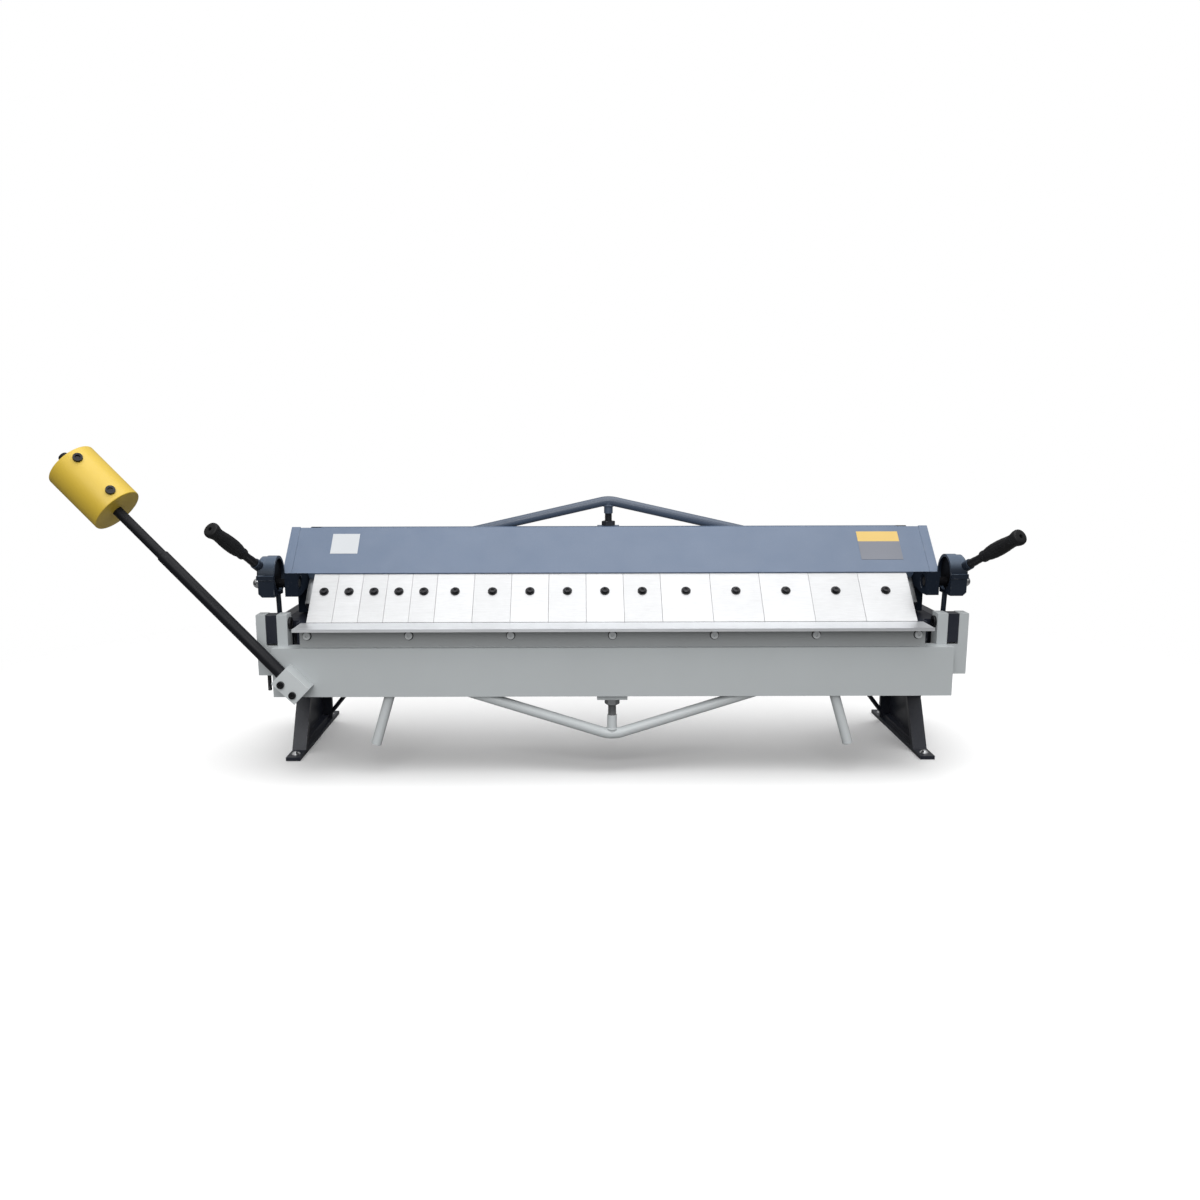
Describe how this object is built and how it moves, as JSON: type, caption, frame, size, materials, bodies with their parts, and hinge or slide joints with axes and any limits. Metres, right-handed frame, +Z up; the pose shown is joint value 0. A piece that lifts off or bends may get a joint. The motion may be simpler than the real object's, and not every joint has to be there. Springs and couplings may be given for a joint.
{
  "type": "box and pan brake",
  "caption": "Sheet-metal folding brake: fingered clamp beam over a bed, hinged bending apron with a counterweight arm, an eccentric clamp handle at each end, and truss rods.",
  "frame": {"origin": "centre of the rectangle of foot bolt holes, on the bench plane under the feet", "axes": "+X along the machine's width, towards the right-hand clamp handle as seen from the apron side; +Y from the apron to the rear; +Z up"},
  "size_m": [1.8591, 0.556, 0.6594],
  "materials": {
    "frame_paint": "satin dark blue-grey enamel",
    "beam_paint": "satin slate blue-grey enamel",
    "apron_paint": "satin light grey enamel",
    "ground_steel": "surface-ground bare steel",
    "machined_steel": "machined bare steel",
    "dark_steel": "dark oiled steel",
    "black_oxide": "black oxide",
    "zinc_plate": "bright zinc plate",
    "hub_paint": "satin dark slate enamel",
    "arm_paint": "satin black-navy enamel",
    "weight_paint": "satin warm yellow enamel",
    "grip_rubber": "matt black rubber",
    "bush_bronze": "plain bronze"
  },
  "bodies": {
    "base": {"left_frame": "frame_paint", "right_frame": "frame_paint", "bed": "frame_paint", "bed_bolts": "black_oxide", "bed_braces": "frame_paint", "levelling_screws": "zinc_plate", "hinge_bushes": "bush_bronze", "link_pins": "dark_steel"},
    "beam": {"clamp_beam": "beam_paint", "left_beam_end": "beam_paint", "right_beam_end": "beam_paint", "finger_bar": "machined_steel", "finger_01": "ground_steel", "finger_02": "ground_steel", "finger_03": "ground_steel", "finger_04": "ground_steel", "finger_05": "ground_steel", "finger_06": "ground_steel", "finger_07": "ground_steel", "finger_08": "ground_steel", "finger_09": "ground_steel", "finger_10": "ground_steel", "finger_11": "ground_steel", "finger_12": "ground_steel", "finger_13": "ground_steel", "finger_14": "ground_steel", "finger_15": "ground_steel", "finger_16": "ground_steel", "finger_screws": "black_oxide", "upper_truss": "beam_paint", "upper_truss_jack_bolt": "dark_steel", "beam_pivot_pins": "dark_steel"},
    "bending_apron": {"apron": "apron_paint", "bending_blade": "ground_steel", "blade_bolts": "apron_paint", "left_apron_bracket": "apron_paint", "right_apron_bracket": "apron_paint", "bend_stop_rod": "black_oxide", "bracket_screws": "zinc_plate", "hinge_pins": "black_oxide", "lower_truss": "apron_paint", "lower_truss_jack_bolt": "dark_steel", "left_lift_bar": "apron_paint", "right_lift_bar": "apron_paint", "arm_block": "apron_paint", "arm_block_screws": "black_oxide", "counterweight_tube": "arm_paint", "counterweight_rod": "arm_paint"},
    "sliding_weight": {"counterweight": "weight_paint", "counterweight_screws": "black_oxide"},
    "left_link": {"left_clamp_link": "hub_paint"},
    "left_clamp": {"left_eccentric": "hub_paint", "left_clamp_shaft": "zinc_plate", "left_clamp_handle": "black_oxide", "left_handle_grip": "grip_rubber"},
    "right_link": {"right_clamp_link": "hub_paint"},
    "right_clamp": {"right_eccentric": "hub_paint", "right_clamp_shaft": "zinc_plate", "right_clamp_handle": "black_oxide", "right_handle_grip": "grip_rubber"}
  },
  "joints": [
    {"name": "apron_hinge", "type": "hinge", "parent": "base", "child": "bending_apron", "pos_m": [0, -0.25, 0.31], "axis": [-1, 0, 0], "range_deg": [0, 102]},
    {"name": "clamp_beam_lift", "type": "hinge", "parent": "base", "child": "beam", "pos_m": [0, 0.008, 0.23], "axis": [-1, 0, 0], "range_deg": [0, 2.6]},
    {"name": "left_link_swing", "type": "hinge", "parent": "base", "child": "left_link", "pos_m": [-0.6709, -0.206, 0.25], "axis": [-1, 0, 0], "range_deg": [0, 8.4]},
    {"name": "left_handle_turn", "type": "hinge", "parent": "left_link", "child": "left_clamp", "pos_m": [-0.6762, -0.22, 0.403], "axis": [-1, 0, 0], "range_deg": [0, 58]},
    {"name": "right_link_swing", "type": "hinge", "parent": "base", "child": "right_link", "pos_m": [0.6709, -0.206, 0.25], "axis": [-1, 0, 0], "range_deg": [0, 8.4]},
    {"name": "right_handle_turn", "type": "hinge", "parent": "right_link", "child": "right_clamp", "pos_m": [0.6762, -0.22, 0.403], "axis": [-1, 0, 0], "range_deg": [0, 58]},
    {"name": "counterweight_slide", "type": "slide", "parent": "bending_apron", "child": "sliding_weight", "axis": [0.7105, -0.1392, -0.6898], "range_m": [0, 0.12]}
  ],
  "couplings": [
    {"joint": "left_link_swing", "follows": "clamp_beam_lift", "ratio": 3.2},
    {"joint": "left_handle_turn", "follows": "clamp_beam_lift", "ratio": 22},
    {"joint": "right_link_swing", "follows": "clamp_beam_lift", "ratio": 3.2},
    {"joint": "right_handle_turn", "follows": "clamp_beam_lift", "ratio": 22}
  ]
}
